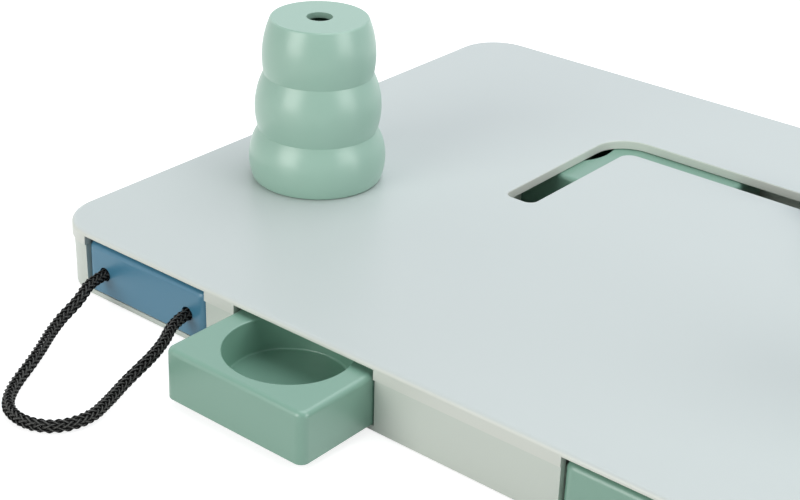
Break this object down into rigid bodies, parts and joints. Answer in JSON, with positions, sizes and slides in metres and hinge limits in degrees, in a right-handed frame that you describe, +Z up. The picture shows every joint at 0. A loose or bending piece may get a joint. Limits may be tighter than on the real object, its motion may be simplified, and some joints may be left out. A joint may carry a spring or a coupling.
{
  "type": "dog puzzle feeder",
  "caption": "Flat rounded board whose drawers with round treat bowls slide out of its front and sides, with hollow cones over treat cups and a slider in a U-shaped slot.",
  "frame": {"origin": "centre of the middle foot's underside, on the surface that the board stands on, under the middle of the board", "axes": "+X to the right along the front edge, +Y to the back, away from the pull rope, +Z up"},
  "size_m": [0.42, 0.3833, 0.0993],
  "materials": {
    "casing_grey": "satin",
    "sage_green": "satin",
    "muted_blue": "satin",
    "black_rope": "braided",
    "foot_rubber": "matt",
    "screw_steel": "plain"
  },
  "bodies": {
    "casing": {"top_cover": "casing_grey", "base_tray": "casing_grey", "guide_middle": "casing_grey", "guide_rear": "casing_grey", "guide_outer_left": "casing_grey", "guide_outer_right": "casing_grey", "guide_pull_left": "casing_grey", "guide_pull_right": "casing_grey", "case_screws": "screw_steel", "foot_front_left": "foot_rubber", "foot_front_right": "foot_rubber", "foot_back_left": "foot_rubber", "foot_back_right": "foot_rubber", "foot_centre": "foot_rubber"},
    "pull_drawer_left": {"pull_drawer_left": "muted_blue", "pull_rope": "black_rope", "rope_knot_left": "black_rope", "rope_knot_right": "black_rope"},
    "pull_drawer_right": {"pull_drawer_right": "muted_blue"},
    "front_drawer_left": {"front_drawer_left": "sage_green"},
    "front_drawer_right": {"front_drawer_right": "sage_green"},
    "side_drawer_left": {"side_drawer_left": "sage_green"},
    "side_drawer_right": {"side_drawer_right": "sage_green"},
    "cone_left": {"cone_left": "sage_green"},
    "cone_right": {"cone_right": "sage_green"},
    "slider": {"slider_knob": "muted_blue", "slider_pin": "casing_grey", "slider_screw": "screw_steel"}
  },
  "joints": [
    {"name": "pull_left", "type": "slide", "parent": "casing", "child": "pull_drawer_left", "axis": [0, -1, 0], "range_m": [0, 0.051]},
    {"name": "pull_right", "type": "slide", "parent": "casing", "child": "pull_drawer_right", "axis": [0, -1, 0], "range_m": [0, 0.051]},
    {"name": "front_left", "type": "slide", "parent": "casing", "child": "front_drawer_left", "axis": [0, -1, 0], "range_m": [-0.037, 0.12]},
    {"name": "front_right", "type": "slide", "parent": "casing", "child": "front_drawer_right", "axis": [0, -1, 0], "range_m": [0, 0.157]},
    {"name": "side_left", "type": "slide", "parent": "casing", "child": "side_drawer_left", "axis": [-1, 0, 0], "range_m": [0, 0.16]},
    {"name": "side_right", "type": "slide", "parent": "casing", "child": "side_drawer_right", "axis": [1, 0, 0], "range_m": [0, 0.057]},
    {"name": "slider_travel", "type": "slide", "parent": "casing", "child": "slider", "axis": [1, 0, 0], "range_m": [0, 0.057]},
    {"name": "cone_left_lift", "type": "slide", "parent": "casing", "child": "cone_left", "axis": [0, 0, 1], "range_m": [0, 0.06]},
    {"name": "cone_right_lift", "type": "slide", "parent": "casing", "child": "cone_right", "axis": [0, 0, 1], "range_m": [0, 0.06]}
  ],
  "couplings": [
    {"joint": "side_right", "follows": "slider_travel", "ratio": 1}
  ]
}
